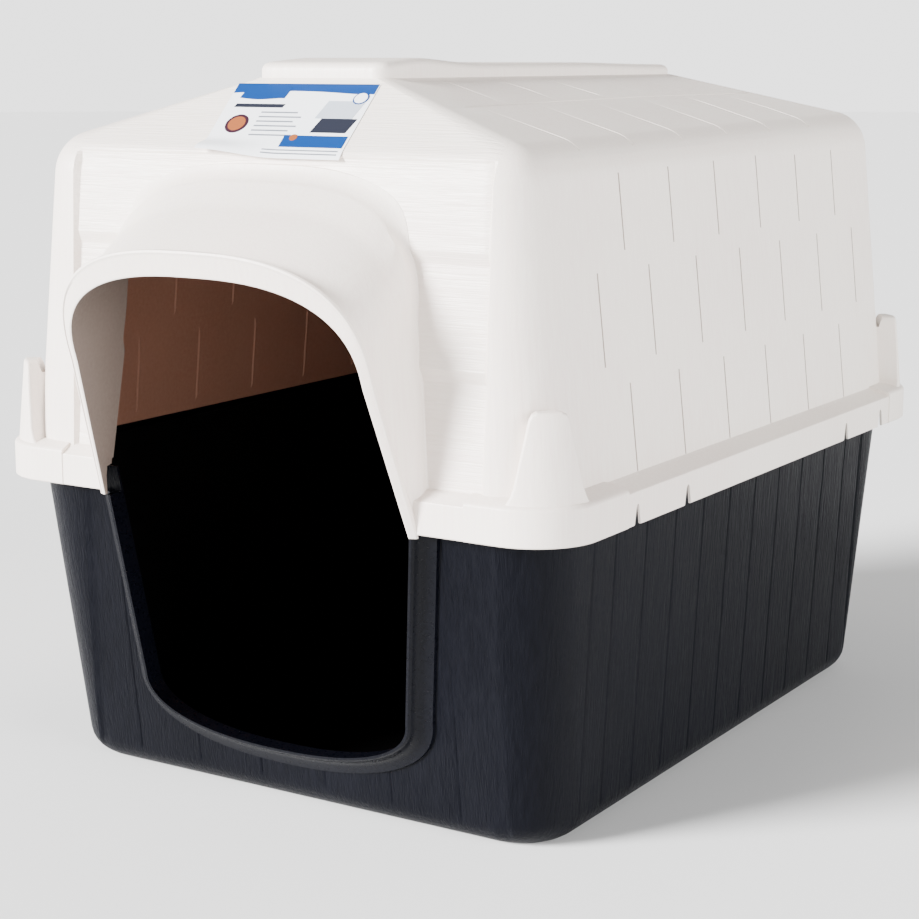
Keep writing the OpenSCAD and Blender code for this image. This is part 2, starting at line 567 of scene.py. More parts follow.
@dataclass(frozen=True)
class MouldedPlastic:
    """Moulded plastic with an embossed wood grain.

    Attributes:
        name: Name of the material.
        colour: Linear base colour.
        shade: Second colour that patches and grain lines lean to.
        roughness: Middle roughness.
        grain: Which way the grain runs.
        relief: How strong the grain's relief is.
        gloss: The shader's specular level.
    """

    name: str
    colour: tuple[float, float, float]
    shade: tuple[float, float, float]
    roughness: float
    grain: Grain
    relief: float
    gloss: float = 0.5

    PATCH_SCALE = (4.5, 4.5, 4.5)
    FLECK_FINENESS = 2.3
    TINT_FROM = 0.12
    TINT_TO = 0.44
    POLISH_SPAN = (-0.06, 0.08)
    RELIEF_HEIGHT = 0.0012

    def material(self) -> bpy.types.Material:
        """Builds the material.

        Returns:
            The material.
        """
        made, tree, shader = new_material(self.name)
        shader.inputs["Specular IOR Level"].default_value = self.gloss
        place = tree.nodes.new("ShaderNodeTexCoord")
        fine = tuple(self.FLECK_FINENESS * s for s in self.grain.value)
        streak = self._noise(tree, place, self.grain.value, 6.0)
        patch = self._noise(tree, place, self.PATCH_SCALE, 3.0)
        fleck = self._noise(tree, place, fine, 2.0)
        self._tint(tree, shader, streak, patch)
        self._polish(tree, shader, streak)
        self._emboss(tree, shader, streak, fleck)
        return made

    def _noise(self, tree: bpy.types.NodeTree, place: bpy.types.Node, scale: tuple[float, float, float],
               detail: float) -> bpy.types.Node:
        """Adds noise on the object's own coordinates.

        Args:
            tree: The material's node tree.
            place: The node that gives the coordinates.
            scale: How fine the noise is along X, Y and Z.
            detail: How many finer layers it has.

        Returns:
            The noise node.
        """
        stretch = tree.nodes.new("ShaderNodeMapping")
        stretch.inputs["Scale"].default_value = scale
        noise = tree.nodes.new("ShaderNodeTexNoise")
        noise.inputs["Scale"].default_value = 1.0
        noise.inputs["Detail"].default_value = detail
        tree.links.new(place.outputs["Object"], stretch.inputs["Vector"])
        tree.links.new(stretch.outputs["Vector"], noise.inputs["Vector"])
        return noise

    def _tint(self, tree: bpy.types.NodeTree, shader: bpy.types.Node, streak: bpy.types.Node,
              patch: bpy.types.Node) -> None:
        """Colour: the base colour, leaning to the shade in patches and along the grain.

        Args:
            tree: The material's node tree.
            shader: Its shader.
            streak: Noise along the grain.
            patch: Noise in patches.
        """
        both = tree.nodes.new("ShaderNodeMath")
        both.operation = "MULTIPLY"
        tree.links.new(streak.outputs["Fac"], both.inputs[0])
        tree.links.new(patch.outputs["Fac"], both.inputs[1])
        ramp = tree.nodes.new("ShaderNodeValToRGB")
        ramp.color_ramp.elements[0].position = self.TINT_FROM
        ramp.color_ramp.elements[0].color = (*self.colour, 1.0)
        ramp.color_ramp.elements[1].position = self.TINT_TO
        ramp.color_ramp.elements[1].color = (*self.shade, 1.0)
        tree.links.new(both.outputs["Value"], ramp.inputs["Fac"])
        tree.links.new(ramp.outputs["Color"], shader.inputs["Base Color"])

    def _polish(self, tree: bpy.types.NodeTree, shader: bpy.types.Node, streak: bpy.types.Node) -> None:
        """Roughness: a little either side of its middle value.

        Args:
            tree: The material's node tree.
            shader: Its shader.
            streak: Noise along the grain.
        """
        span = tree.nodes.new("ShaderNodeMapRange")
        span.inputs["From Min"].default_value = 0.3
        span.inputs["From Max"].default_value = 0.7
        span.inputs["To Min"].default_value = self.roughness + self.POLISH_SPAN[0]
        span.inputs["To Max"].default_value = self.roughness + self.POLISH_SPAN[1]
        tree.links.new(streak.outputs["Fac"], span.inputs["Value"])
        tree.links.new(span.outputs["Result"], shader.inputs["Roughness"])

    def _emboss(self, tree: bpy.types.NodeTree, shader: bpy.types.Node, streak: bpy.types.Node,
                fleck: bpy.types.Node) -> None:
        """Relief: long grain lines with finer ones on them.

        Args:
            tree: The material's node tree.
            shader: Its shader.
            streak: Noise along the grain.
            fleck: Finer noise along the grain.
        """
        both = tree.nodes.new("ShaderNodeMath")
        both.operation = "ADD"
        tree.links.new(streak.outputs["Fac"], both.inputs[0])
        tree.links.new(fleck.outputs["Fac"], both.inputs[1])
        bump = tree.nodes.new("ShaderNodeBump")
        bump.inputs["Strength"].default_value = self.relief
        bump.inputs["Distance"].default_value = self.RELIEF_HEIGHT
        tree.links.new(both.outputs["Value"], bump.inputs["Height"])
        tree.links.new(bump.outputs["Normal"], shader.inputs["Normal"])


@dataclass(frozen=True)
class Print:
    """Printed vinyl: one ink on a smooth, slightly glossy film.

    Attributes:
        name: Name of the material.
        colour: Linear colour of the ink.
    """

    name: str
    colour: tuple[float, float, float]

    ROUGHNESS = 0.32
    MOTTLE = 0.93
    MOTTLE_SCALE = 400.0

    def material(self) -> bpy.types.Material:
        """Builds the material, with a faint mottle in the ink.

        Returns:
            The material.
        """
        made, tree, shader = new_material(self.name)
        shader.inputs["Roughness"].default_value = self.ROUGHNESS
        place = tree.nodes.new("ShaderNodeTexCoord")
        noise = tree.nodes.new("ShaderNodeTexNoise")
        noise.inputs["Scale"].default_value = self.MOTTLE_SCALE
        ramp = tree.nodes.new("ShaderNodeValToRGB")
        ramp.color_ramp.elements[0].color = (*[c * self.MOTTLE for c in self.colour], 1.0)
        ramp.color_ramp.elements[1].color = (*self.colour, 1.0)
        tree.links.new(place.outputs["Object"], noise.inputs["Vector"])
        tree.links.new(noise.outputs["Fac"], ramp.inputs["Fac"])
        tree.links.new(ramp.outputs["Color"], shader.inputs["Base Color"])
        return made


CREAM = (0.81, 0.748, 0.682)
CREAM_SHADE = (0.765, 0.668, 0.620)
SLATE = (0.0008, 0.0010, 0.0024)
SLATE_SHADE = (0.0026, 0.0029, 0.0052)

CREAM_UPRIGHT = MouldedPlastic("cream_plastic", CREAM, CREAM_SHADE, 0.44, Grain.UPRIGHT, 0.14)
CREAM_LEVEL = MouldedPlastic("cream_plastic_panel", CREAM, CREAM_SHADE, 0.38, Grain.LEVEL, 0.55)
# Painted shade: dark cream for the sides of the wall's shingle lines, standing in for the shade that falls
# in the grooves
CREAM_GROOVE_SHADE = MouldedPlastic(
    "cream_plastic_groove_painted_shade", (0.34, 0.28, 0.24), (0.28, 0.23, 0.19), 0.6, Grain.UPRIGHT, 0.05, 0.3)
# Painted shade for the roof's inside: dark brown in place of cream, tinted warm for light seen through the
# plastic
CREAM_INSIDE_SHADE = MouldedPlastic(
    "cream_plastic_inside_painted_shade", (0.38, 0.19, 0.128), (0.34, 0.165, 0.108), 0.6, Grain.PLAIN, 0.05, 0.2)
# Painted shade for the hood's passage: a dark taupe in place of cream on the jambs
CREAM_PASSAGE_SHADE = MouldedPlastic(
    "cream_plastic_passage_painted_shade", (0.21, 0.165, 0.14), (0.19, 0.145, 0.12), 0.5, Grain.PLAIN, 0.05, 0.2)
SLATE_UPRIGHT = MouldedPlastic("slate_plastic", SLATE, SLATE_SHADE, 0.42, Grain.UPRIGHT, 0.80, 0.07)
SLATE_PLAIN = MouldedPlastic("slate_plastic_lip", SLATE, SLATE_SHADE, 0.30, Grain.PLAIN, 0.10, 0.13)
# Painted shade for the tub's inside: a rougher, less glossy copy of the slate that keeps it dark
SLATE_INSIDE_SHADE = MouldedPlastic(
    "slate_plastic_inside_painted_shade", (0.0012, 0.0011, 0.0012), (0.0016, 0.0015, 0.0016), 0.8,
    Grain.PLAIN, 0.05, 0.05)


# ------------------------------------------------------------------------------------------
# Base


@dataclass
class Base:
    """The base: a tub with a flat floor, plank walls, a lip around its doorway and a rim flange."""

    half_x: float = 0.330
    half_y: float = 0.433
    rim_half_x: float = 0.348
    rim_half_y: float = 0.477
    rim_z: float = 0.346
    top_z: float = 0.3702
    corner: float = 0.070
    floor_radius: float = 0.030
    door_half: float = 0.2035
    sill_z: float = 0.070
    lip_out: float = 0.017
    flange_reach: float = 0.0255
    bead: float = 0.006
    plank: float = 0.0708
    front_plank: float = 0.0885
    sill_tuck: float = 0.026
    sill_sag: float = 0.062
    sill_square: float = 2.3
    door_flare: float = 0.006
    door_over: float = 0.073
    first_plank: float = -0.317
    rear_post: float = 0.377
    front_post: float = -0.366
    first_front_plank: float = -0.2165
    back_shift: float = 0.004
    line_foot: float = 0.022
    front_line_foot: float = 0.020
    line_head: float = 0.02
    recess: float = 0.0034
    recess_x: float = 0.287
    recess_ramp: float = 0.006
    recess_left: float = 0.256
    recess_right: float = 0.285
    flange_rise: float = 0.009
    flange_share: float = 0.43

    SILL_STEPS = 44
    FLOOR_STEPS = 7

    def half_sizes(self, z: float) -> tuple[float, float]:
        """Half width and half length of the tub at a height."""
        t = z / self.rim_z
        return lerp(self.half_x, self.rim_half_x, t), lerp(self.half_y, self.rim_half_y, t)

    def slice(self, z: float, inset: float) -> Ring:
        """Level ring of the tub's wall, drawn in by an inset."""
        half_x, half_y = self.half_sizes(z)
        return round_rect(half_x - inset, half_y - inset, max(self.corner - inset, 0.012), z)

    def tub(self, inset: float, top: float) -> bmesh.types.BMesh:
        """Solid tub with a rolled edge round its floor.

        Args:
            inset: How far it is drawn in all round.
            top: Height of its top.

        Returns:
            A closed mesh.
        """
        radius = self.floor_radius - inset
        rings = []
        for step in range(self.FLOOR_STEPS + 1):
            turn = math.radians(90.0 * step / self.FLOOR_STEPS)
            z = inset + radius * (1 - math.cos(turn))
            rings.append(self.slice(z, inset + radius * (1 - math.sin(turn))))
        rings.append(self.slice(top, inset))
        return loft(rings)

    def door_outline(self, grow: float) -> Ring:
        """Doorway in X and Z: open at the top, with a sill that sags to its middle.

        Args:
            grow: How much wider it is all round.

        Returns:
            Its points, with Y left at 0.
        """
        half = self.door_half - self.sill_tuck + grow
        drop = self.sill_sag + grow
        middle_z = self.sill_z + self.sill_sag
        top_half = self.door_half + self.door_flare + grow
        top_z = self.rim_z + self.door_over
        points = [Vector((side * top_half, 0.0, top_z)) for side in (1.0, -1.0)]
        for step in range(self.SILL_STEPS + 1):
            across, down = squared(math.pi * (1.0 + step / self.SILL_STEPS), self.sill_square)
            points.append(Vector((half * across, 0.0, middle_z - drop * down)))
        return points

    def front_y(self, z: float) -> float:
        """Y of the front wall's face at a height."""
        return -self.half_sizes(z)[1]

    def door_ring(self, grow: float, out: float) -> Ring:
        """Doorway outline laid parallel to the front wall, a distance out from it."""
        return [Vector((p.x, self.front_y(p.z) - out, p.z)) for p in self.door_outline(grow)]

    def doorway(self) -> bmesh.types.BMesh:
        """Cutter for the doorway."""
        return loft([self.door_ring(0.0, 0.1), self.door_ring(0.0, -0.03)])

    def lip(self) -> bmesh.types.BMesh:
        """Lip around the doorway: a rolled bead on a surround that flares into the wall.

        Returns:
            A closed mesh, cut off level under the rim.
        """
        profile = ((0.0005, self.lip_out), (0.0028, self.lip_out), (0.0045, self.lip_out - 0.0012),
                   (0.0055, self.lip_out - 0.0035), (0.0068, 0.010), (0.0095, 0.0055), (0.0145, 0.0022),
                   (0.0235, 0.0003), (0.0245, -0.004))
        bm = loft([self.door_ring(grow, out) for grow, out in profile])
        trim(bm, Vector((0.0, 0.0, self.rim_z - 0.005)), Vector((0.0, 0.0, 1.0)))
        return bm

    def grooves(self) -> list[Groove]:
        """Lines between the planks of the sides, the front and the back.

        Returns:
            The grooves, in the order that they are scored in.
        """
        top = self.top_z - self.line_head
        places = [(self.first_plank + self.plank * count, 0.0021, 0.0014) for count in range(10)]
        places += [(self.rear_post, 0.0045, 0.0024), (self.front_post, 0.0030, 0.0012)]
        lines = []
        for side in (-1.0, 1.0):
            facing = Vector((side, 0.0, 0.0))
            for y, half, depth in places:
                lines.append(Groove(Axis.Y, y, Axis.Z, self.line_foot, top, facing, half, depth))
        for side in (-1.0, 1.0):
            facing = Vector((0.0, side, 0.0))
            shift = self.back_shift if side > 0 else 0.0
            for count in range(6):
                x = self.first_front_plank + self.front_plank * count - shift
                lines.append(Groove(Axis.X, x, Axis.Z, self.front_line_foot, top, facing, 0.0019, 0.0011))
        return lines

    def recess_fronts(self, bm: bmesh.types.BMesh) -> None:
        """Sets the front and back panels back a little between the corner posts.

        Args:
            bm: The tub's solid, or the solid of the room in it.
        """
        tops = {-1.0: self.recess_left, 1.0: self.recess_right}
        for side, high_x in tops.items():
            lean = Vector((self.rim_z, 0.0, self.recess_x - high_x)).normalized()
            for offset in (0.0, self.recess_ramp):
                at = Vector((side * (self.recess_x - offset), 0.0, 0.0))
                split(bm, at, Vector((lean.x * side, 0.0, lean.z)))
        for vert in bm.verts:
            half_y = self.half_sizes(vert.co.z)[1]
            high_x = tops[math.copysign(1.0, vert.co.x)]
            edge = lerp(self.recess_x, high_x, vert.co.z / self.rim_z)
            inside = edge - abs(vert.co.x)
            if abs(vert.co.y) > half_y - 0.034 and inside > 0:
                sink = self.recess * smooth(inside / self.recess_ramp)
                sink *= smooth(vert.co.z / self.floor_radius)
                vert.co.y -= math.copysign(sink, vert.co.y)

    def flange(self, palette: list[bpy.types.Material]) -> bmesh.types.BMesh:
        """Rim flange, turned out from the wall, with a bead along its edge that carries the roof.

        Args:
            palette: One material for each skin.

        Returns:
            A closed mesh, open at the doorway.
        """
        rest_z = self.top_z + self.flange_rise
        half_x = self.rim_half_x + self.flange_reach
        half_y = self.rim_half_y + self.flange_reach * self.flange_share
        corner = self.corner + 0.008
        low = self.top_z - WALL
        solid = loft([
            round_rect(half_x - 0.0008, half_y - 0.0008, corner, low),
            round_rect(half_x, half_y, corner, low + 0.0008),
            round_rect(half_x, half_y, corner, rest_z - 0.0015),
            round_rect(half_x - 0.0012, half_y - 0.0012, corner - 0.001, rest_z),
        ])
        pocket = loft([
            round_rect(half_x - self.bead, half_y - self.bead, corner - self.bead, self.top_z),
            round_rect(half_x - self.bead, half_y - self.bead, corner - self.bead, rest_z + 0.01),
        ])
        gap = self.door_half + 0.018
        ring = Workpiece("flange", solid, palette)
        ring.work(Boolean.CUT, pocket)
        ring.work(Boolean.CUT, block((-gap, -0.6, low - 0.01), (gap, -0.3, rest_z + 0.02)))
        return ring.take()

    def build(self) -> bpy.types.Object:
        """Makes the base and puts it on its body.

        Returns:
            The finished object.
        """
        palette = [SLATE_UPRIGHT.material(), SLATE_PLAIN.material(), SLATE_INSIDE_SHADE.material()]
        outer = self.tub(0.0, self.top_z)
        self.recess_fronts(outer)
        score_all(outer, self.grooves())
        piece = Workpiece("base_moulding", outer, palette)
        piece.work(Boolean.JOIN, self.flange(palette))
        piece.work(Boolean.JOIN, paint(self.lip(), Skin.PANEL))
        room = self.tub(WALL, self.top_z + 0.05)
        self.recess_fronts(room)
        # The room's faces take the inside skin, which is painted shade
        piece.work(Boolean.CUT, paint(room, Skin.INSIDE))
        piece.work(Boolean.CUT, paint(self.doorway(), Skin.PANEL))
        return piece.finish("base", "base_plastic", ["base_shell"])


# ------------------------------------------------------------------------------------------
# Roof


@dataclass(frozen=True)
class Boards:
    """Three lapped boards, set back between the corner posts of the front and back walls."""

    top: float = 0.722
    laps: tuple[float, float] = (0.632, 0.514)
    foot: float = 0.382
    post: float = 0.0036
    step: float = 0.0050
    slant: float = 0.013
    fade: float = 0.728
    fade_run: float = 0.02

    def depth(self, z: float) -> float:
        """How far the boards lie behind the corner posts.

        Args:
            z: The height.

        Returns:
            The distance.
        """
        edges = (self.top, *self.laps, self.foot)
        sunk = 0.0
        for high, low in zip(edges, edges[1:]):
            if low <= z <= high:
                under = min((high - z) / self.slant, 1.0) if high != self.top else 1.0
                sunk = self.step * under * (z - low) / (high - low)
        return (self.post + sunk) * smooth((self.fade - z) / self.fade_run)


@dataclass
class Hood:
    """The hood over the doorway: it leans forward as it rises and has a rolled rim."""

    opening: Arch = Arch(0.2035, 0.342, 0.187, 0.50, 0.104, 2.65)
    ridge: Arch = Arch(0.2125, 0.342, 0.199, 0.50, 0.132, 2.75)
    root: Arch = Arch(0.2190, 0.342, 0.1960, 0.56, 0.132, 2.9)
    way: Arch = Arch(0.2140, 0.342, 0.1915, 0.552, 0.122, 2.8)
    boards: Boards = Boards()
    front_y: float = -0.500
    lean: float = 0.35
    lean_from: float = 0.346
    wall_y: float = -0.4830
    wall_lean: float = 0.0480
    ledge_z: float = 0.382
    rim_depth: float = 0.0135
    bulge: float = 0.012
    leg_flare: float = 0.0020
    crown_flare: float = 0.024
    flare_z: float = 0.622
    flare_run: float = 0.05

    SHALLOW = 10.0
    STEP_OUT = 0.001

    def rim_y(self, z: float) -> float:
        """Y of the rim's plane at a height."""
        return self.front_y - self.lean * (z - self.lean_from)

    def root_y(self, z: float) -> float:
        """Y of the boards of the roof's front wall at a height."""
        return self.wall_y + self.wall_lean * (z - self.ledge_z) + self.boards.depth(z)

    def on_rim(self, points: Ring, behind: float) -> Ring:
        """Lays an outline on the rim's plane, or a distance behind it."""
        return [Vector((p.x, self.rim_y(p.z) + behind, p.z)) for p in points]

    def between(self, front: Ring, back: Ring, t: float) -> Ring:
        """Ring between the rim and the wall, swollen a little at half way.

        Args:
            front: Ring at the rim.
            back: Outline where the hood meets the wall, in X and Z.
            t: How far it is from the rim to the wall, from 0 to 1.

        Returns:
            The ring.
        """
        ring = []
        swell = 1.0 + self.bulge * math.sin(math.pi * t)
        for a, b in zip(front, back):
            y = lerp(a.y, self.root_y(b.z), t)
            ring.append(Vector((lerp(a.x, b.x, t) * swell, y, lerp(a.z, b.z, t) + (swell - 1.0) * 0.4)))
        return ring

    def flared(self, out: float) -> Ring:
        """Ring out from the wall, flared into it: widely over the crown, tightly at the legs.

        Args:
            out: Its distance from the wall, which shrinks where the hood is shallow.

        Returns:
            The ring.
        """
        ring = []
        for point, further in zip(self.root.points(), self.root.grown(self.STEP_OUT).points()):
            crown = smooth((point.z - self.flare_z) / self.flare_run)
            radius = lerp(self.leg_flare, self.crown_flare, crown)
            depth = self.root_y(point.z) - self.rim_y(point.z) - self.rim_depth
            away = out * min(1.0, depth * self.SHALLOW)
            near = max(radius - away, 0.0)
            grow = radius - math.sqrt(max(radius * radius - near * near, 0.0))
            where = point + (further - point) * (grow / self.STEP_OUT)
            ring.append(Vector((where.x, self.root_y(where.z) - away, where.z)))
        return ring

    def solid(self) -> bmesh.types.BMesh:
        """Solid hood, from its rim back into the roof's front wall.

        Returns:
            A closed mesh.
        """
        opening = self.opening.points()
        ridge = self.ridge.points()
        band = [a.lerp(b, 0.76) for a, b in zip(opening, ridge)]
        crease = self.on_rim(self.ridge.pinched(0.0085).points(), self.rim_depth)
        back = self.root.points()
        rings = [
            self.on_rim(self.opening.grown(-0.002).points(), 0.002),
            self.on_rim(self.opening.grown(0.0003).points(), 0.0006),
            self.on_rim(self.opening.grown(0.0018).points(), 0.0),
            self.on_rim(band, 0.0030),
            self.on_rim(self.ridge.grown(-0.0032).points(), 0.0018),
            self.on_rim(self.ridge.grown(-0.0010).points(), 0.0030),
            self.on_rim(ridge, 0.0056),
            self.on_rim(self.ridge.grown(-0.0006).points(), 0.0088),
            self.on_rim(self.ridge.pinched(0.0050).points(), 0.0108),
            crease,
        ]
        rings += [self.between(crease, back, t) for t in (0.12, 0.25, 0.4, 0.55, 0.68)]
        rings += [self.flared(out) for out in (0.0185, 0.013, 0.008, 0.0045, 0.002, 0.0004)]
        rings.append([p + Vector((0.0, 0.02, 0.0)) for p in self.flared(0.0)])
        return loft(rings)

    def passage(self) -> bmesh.types.BMesh:
        """Cutter for the way through the hood.

        Returns:
            A closed mesh.
        """
        sunk = self.opening.foot_z - 0.03

        def low(arch: Arch) -> Ring:
            """Outline whose feet reach below the hood."""
            foot = arch.foot + (arch.foot - arch.half) * 0.19
            return Arch(foot, sunk, arch.half, arch.shoulder_z, arch.rise, arch.square).points()

        front = self.on_rim(low(self.opening), -0.01)
        back = [Vector((p.x, self.root_y(p.z) + 0.004, p.z)) for p in low(self.way)]
        far = [p + Vector((0.0, 0.05, 0.0)) for p in back]
        return loft([front, self.on_rim(low(self.opening), 0.004), back, far])


@dataclass
class CornerEar:
    """Raised ear that wraps one corner: an outline cut flat, given its thickness and bent round."""

    height: float = 0.097
    foot_z: float = 0.383
    bend: float = 0.067
    thickness: float = 0.032
    lean: float = 0.0066
    centre_x: float = 0.309
    centre_y: float = 0.4252
    round_over: float = 0.0034

    STRIP = 0.006
    STRIPS = 9

    def outline(self) -> list[tuple[float, float]]:
        """Right half of the ear's outline, from its foot to its shoulder.

        Returns:
            Places across and up.
        """
        foot = [(0.060, 0.0), (0.052, 0.003), (0.0465, 0.008), (0.0425, 0.0145), (0.0395, 0.022)]
        shoulder = [(0.0240, 0.083), (0.0222, 0.0900), (0.0188, 0.0950), (0.0140, 0.0970)]
        return foot + shoulder

    def solid(self, side_x: float, side_y: float) -> bmesh.types.BMesh:
        """Solid ear for one corner.

        Args:
            side_x: -1 for the left, 1 for the right.
            side_y: -1 for the front, 1 for the rear.

        Returns:
            A closed mesh.
        """
        bm = bmesh.new()
        half = self.outline()
        points = half + [(-s, h) for s, h in reversed(half)]
        face = bm.faces.new([bm.verts.new((s, 0.0, h)) for s, h in points])
        grown = bmesh.ops.extrude_face_region(bm, geom=[face])
        moved = [g for g in grown["geom"] if isinstance(g, bmesh.types.BMVert)]
        bmesh.ops.translate(bm, vec=(0.0, self.thickness, 0.0), verts=moved)
        bmesh.ops.recalc_face_normals(bm, faces=bm.faces)
        face_rim = [e for e in bm.edges if all(abs(v.co.y) < ON_PLANE for v in e.verts)]
        rim = [e for e in face_rim if e.verts[0].co.z + e.verts[1].co.z > 0]
        round_edges(bm, rim, self.round_over, 4)
        for count in range(-self.STRIPS, self.STRIPS + 1):
            split(bm, Vector((count * self.STRIP, 0.0, 0.0)), Axis.X.unit())
        for vert in bm.verts:
            across, deep, up = vert.co
            turn = math.radians(45.0) + across / self.bend
            reach = self.bend - deep
            shift = self.lean * up / self.height
            x = self.centre_x - shift + reach * math.sin(turn)
            y = self.centre_y - shift + reach * math.cos(turn)
            vert.co = Vector((side_x * x, side_y * y, self.foot_z + up))
        bmesh.ops.recalc_face_normals(bm, faces=bm.faces)
        if bm.calc_volume(signed=True) < 0:
            bmesh.ops.reverse_faces(bm, faces=bm.faces)
        return bm


@dataclass
class Roof:
    """The roof: drafted walls, hipped slopes, ridge cap, hood, ledge, skirt and ears in one moulding."""

    skirt_half_x: float = 0.380
    skirt_half_y: float = 0.496
    skirt_z: float = 0.346
    ledge_z: float = 0.382
    skirt_corner: float = 0.071
    foot_half_x: float = 0.353
    foot_half_y: float = 0.483
    foot_corner: float = 0.072
    eave_radius: float = 0.050
    eave_x: float = 0.267
    eave_front: tuple[float, float] = (-0.418, 0.692)
    eave_rear: tuple[float, float] = (0.420, 0.702)
    cap_half_x: float = 0.0845
    cap_front: float = -0.363
    cap_rear: float = 0.320
    cap_z: float = 0.800
    cap_top: float = 0.816
    crest_y: float = -0.280
    block_front: float = -0.356
    block_rear: float = 0.385
    block_x: float = 0.268
    panel_left: float = -0.262
    panel_right: float = 0.283
    shingle_z: tuple[float, float, float, float] = (0.390, 0.496, 0.614, 0.722)
    boards: Boards = Boards()
    groove_depth: float = 0.0018
    wall_pitch: float = 0.1155
    row_ends: tuple[float, float] = (-0.352, 0.362)
    slope_line_x: float = 0.181
    slope_line_ends: tuple[float, float] = (-0.357, 0.360)
    upper_row: tuple[float, float] = (0.088, 0.176)
    upper_first: float = -0.265
    upper_pitch: float = 0.1135
    lower_row: tuple[float, float] = (0.186, 0.3085)
    lower_first: float = -0.327
    lower_pitch: float = 0.1195
    crest_height: float = 0.0055
    crest_run: float = 0.062
    rear_sag: float = 0.003

    CAP_STEPS = 28
    FRONTWARD = 0.35

    @property
    def cap_mid(self) -> float:
        """Y of the ridge cap's middle."""
        return (self.cap_front + self.cap_rear) / 2

    @property
    def cap_half_y(self) -> float:
        """Half the ridge cap's length."""
        return (self.cap_rear - self.cap_front) / 2

    def shell(self, inset: float) -> bmesh.types.BMesh:
        """Solid of the walls and slopes: the hull of the foot, four eave corners and the line of the cap.

        The room starts further down than the outside does, at the same width, so the walls left
        between the two are thicker than the inset, the more so towards the ledge.

        Args:
            inset: 0 for the outside, or how far the room is drawn in from it.

        Returns:
            A closed mesh.
        """
        low = self.skirt_z - 0.02 if inset > 0 else self.ledge_z - 0.0025
        half_x, half_y = self.foot_half_x - inset, self.foot_half_y - inset
        points = round_rect(half_x, half_y, self.foot_corner - inset, low)
        cap_half_x, cap_half_y = self.cap_half_x - inset, self.cap_half_y - inset
        points += round_rect(cap_half_x, cap_half_y, 0.010, self.cap_z - inset, self.cap_mid)
        ball = bmesh.new()
        bmesh.ops.create_uvsphere(ball, u_segments=64, v_segments=32, radius=self.eave_radius - inset)
        for side in (-1.0, 1.0):
            for y, z in (self.eave_front, self.eave_rear):
                points += [v.co + Vector((side * self.eave_x, y, z)) for v in ball.verts]
        ball.free()
        bm = bmesh.new()
        hull = bmesh.ops.convex_hull(bm, input=[bm.verts.new(p) for p in points])
        loose = hull["geom_interior"] + hull["geom_unused"]
        spare = {g for g in loose if isinstance(g, bmesh.types.BMVert)}
        bmesh.ops.delete(bm, geom=list(spare), context="VERTS")
        bmesh.ops.dissolve_limit(bm, angle_limit=math.radians(0.4), verts=bm.verts, edges=bm.edges)
        bmesh.ops.recalc_face_normals(bm, faces=bm.faces)
        return bm

    def wall_grooves(self, side: float) -> list[Groove]:
        """Staggered shingle lines of one side wall in three rows, and the lines between the rows.

        Args:
            side: -1 for the left, 1 for the right.

        Returns:
            The grooves, in the order that they are scored in.
        """
        rows = (
            (self.shingle_z[2] + 0.009, self.shingle_z[3] - 0.012, -0.268, 6),
            (self.shingle_z[1] + 0.011, self.shingle_z[2] - 0.010, -0.332, 7),
            (self.shingle_z[0] + 0.001, self.shingle_z[1] - 0.011, -0.281, 6),
        )
        facing = Vector((side, 0.0, 0.0))
        depth = self.groove_depth
        lines = []
        for low, high, first, count in rows:
            for step in range(count):
                at = first + self.wall_pitch * step
                # Their sides take the scored skin, which is painted shade
                lines.append(Groove(Axis.Y, at, Axis.Z, low, high, facing, 0.0013, depth, Skin.SCORED))
        for z in self.shingle_z[1:3]:
            lines.append(Groove(Axis.Z, z, Axis.Y, *self.row_ends, facing, 0.0022, depth * 0.3))
        return lines

    def slope_grooves(self, side: float) -> list[Groove]:
        """Shingle lines of one roof slope: the line between its two rows, and the lines across each row.

        Args:
            side: -1 for the left, 1 for the right.

        Returns:
            The grooves, in the order that they are scored in.
        """
        facing = Vector((side * 0.35, 0.0, 0.94)).normalized()
        depth = self.groove_depth
        ends = self.slope_line_ends
        lines = [Groove(Axis.X, side * self.slope_line_x, Axis.Y, *ends, facing, 0.0020, depth * 1.1)]
        rows = (
            (self.upper_row, self.upper_first, self.upper_pitch),
            (self.lower_row, self.lower_first, self.lower_pitch),
        )
        for (near, far), first, pitch in rows:
            ends = sorted((side * near, side * far))
            for step in range(6):
                lines.append(Groove(Axis.Y, first + pitch * step, Axis.X, *ends, facing, 0.0017, depth))
        return lines

    def grooves(self) -> list[Groove]:
        """All the shingle lines.

        Returns:
            The grooves, in the order that they are scored in.
        """
        lines = []
        for side in (-1.0, 1.0):
            lines += self.slope_grooves(side)
            lines += self.wall_grooves(side)
        return lines

    def walls(self, inset: float) -> bmesh.types.BMesh:
        """Solid of the walls and slopes with its boards and shingle lines.

        Args:
            inset: 0 for the outside, or how far the room is drawn in from it.

        Returns:
            A closed mesh.
        """
        bm = self.shell(inset)
        for near in (-1.0, 1.0):
            self.board_panel(bm, near)
        score_all(bm, self.grooves())
        return bm

